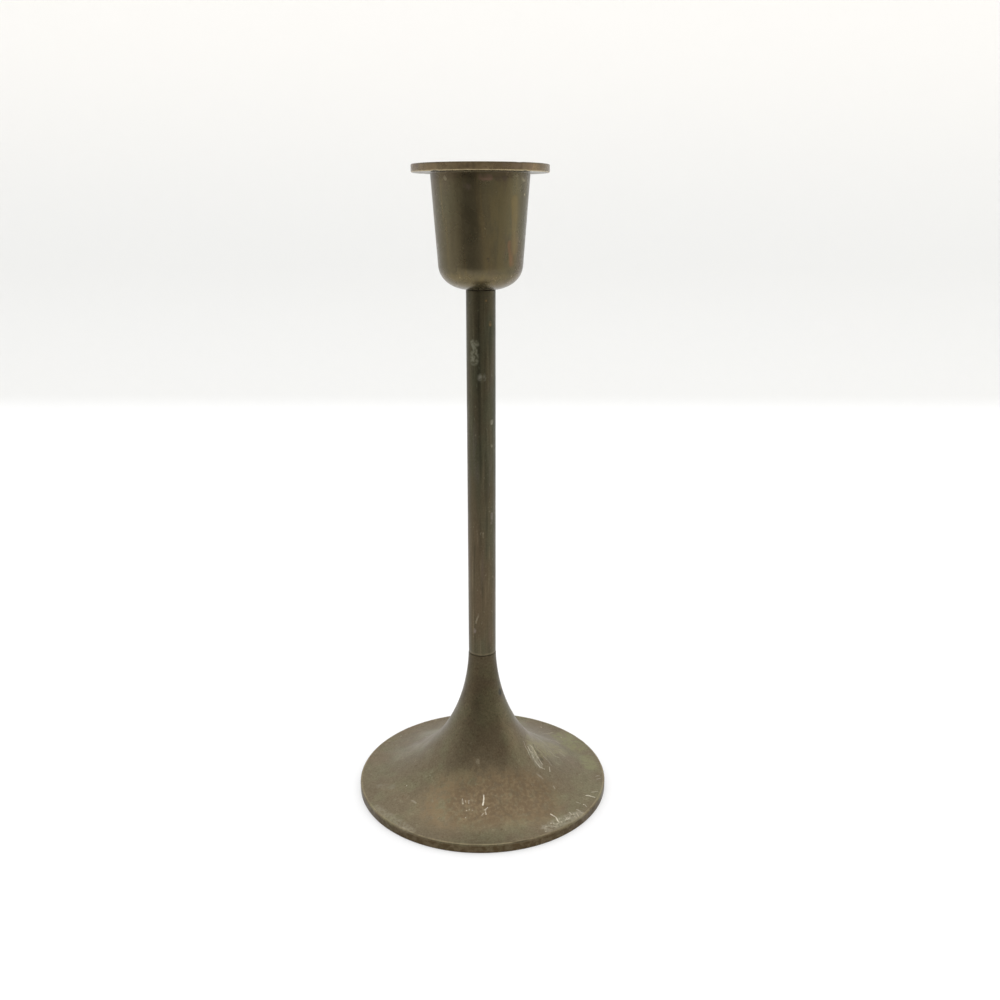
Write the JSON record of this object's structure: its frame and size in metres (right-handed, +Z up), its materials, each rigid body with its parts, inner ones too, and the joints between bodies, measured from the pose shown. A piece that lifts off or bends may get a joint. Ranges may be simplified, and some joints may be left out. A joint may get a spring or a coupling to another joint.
{
  "type": "taper candlestick",
  "caption": "Slender brass candlestick: trumpet foot spreading into a round disc, plain tube stem and tapered cup with a flat flange for a taper candle.",
  "frame": {"origin": "centre of the foot's resting ring, on the surface the candlestick stands on", "axes": "+Z up along the axis that the foot, the stem and the cup are turned on; X and Y are any two directions round it"},
  "size_m": [0.0746, 0.0746, 0.18],
  "materials": {
    "foot_brass": "cast and turned brass, dull grey-brown patina with small scratches",
    "stem_brass": "drawn brass tube, dark green-brown patina",
    "cup_brass": "turned brass, olive-brown patina",
    "fastener_steel": "dull zinc plated steel"
  },
  "bodies": {
    "foot": {"foot": "foot_brass", "tie_rod": "fastener_steel"},
    "stem": {"stem_tube": "stem_brass"},
    "cup": {"candle_cup": "cup_brass"},
    "washer": {"washer": "fastener_steel"},
    "nut": {"hex_nut": "fastener_steel"}
  },
  "joints": [
    {"name": "stem_turn", "type": "hinge", "parent": "foot", "child": "stem", "pos_m": [0, 0, 0.0434], "axis": [0, 0, 1], "range_deg": [0, 2160]},
    {"name": "cup_rise", "type": "slide", "parent": "stem", "child": "cup", "axis": [0, 0, 1], "range_m": [0, 0.0048]},
    {"name": "washer_drop", "type": "slide", "parent": "foot", "child": "washer", "axis": [0, 0, -1], "range_m": [0, 0.0088]},
    {"name": "nut_turn", "type": "hinge", "parent": "washer", "child": "nut", "pos_m": [0, 0, 0.0114], "axis": [0, 0, -1], "range_deg": [0, 3960]}
  ],
  "couplings": [
    {"joint": "stem_turn", "follows": "cup_rise", "rad_per_m": 7854},
    {"joint": "nut_turn", "follows": "washer_drop", "rad_per_m": 7854}
  ]
}
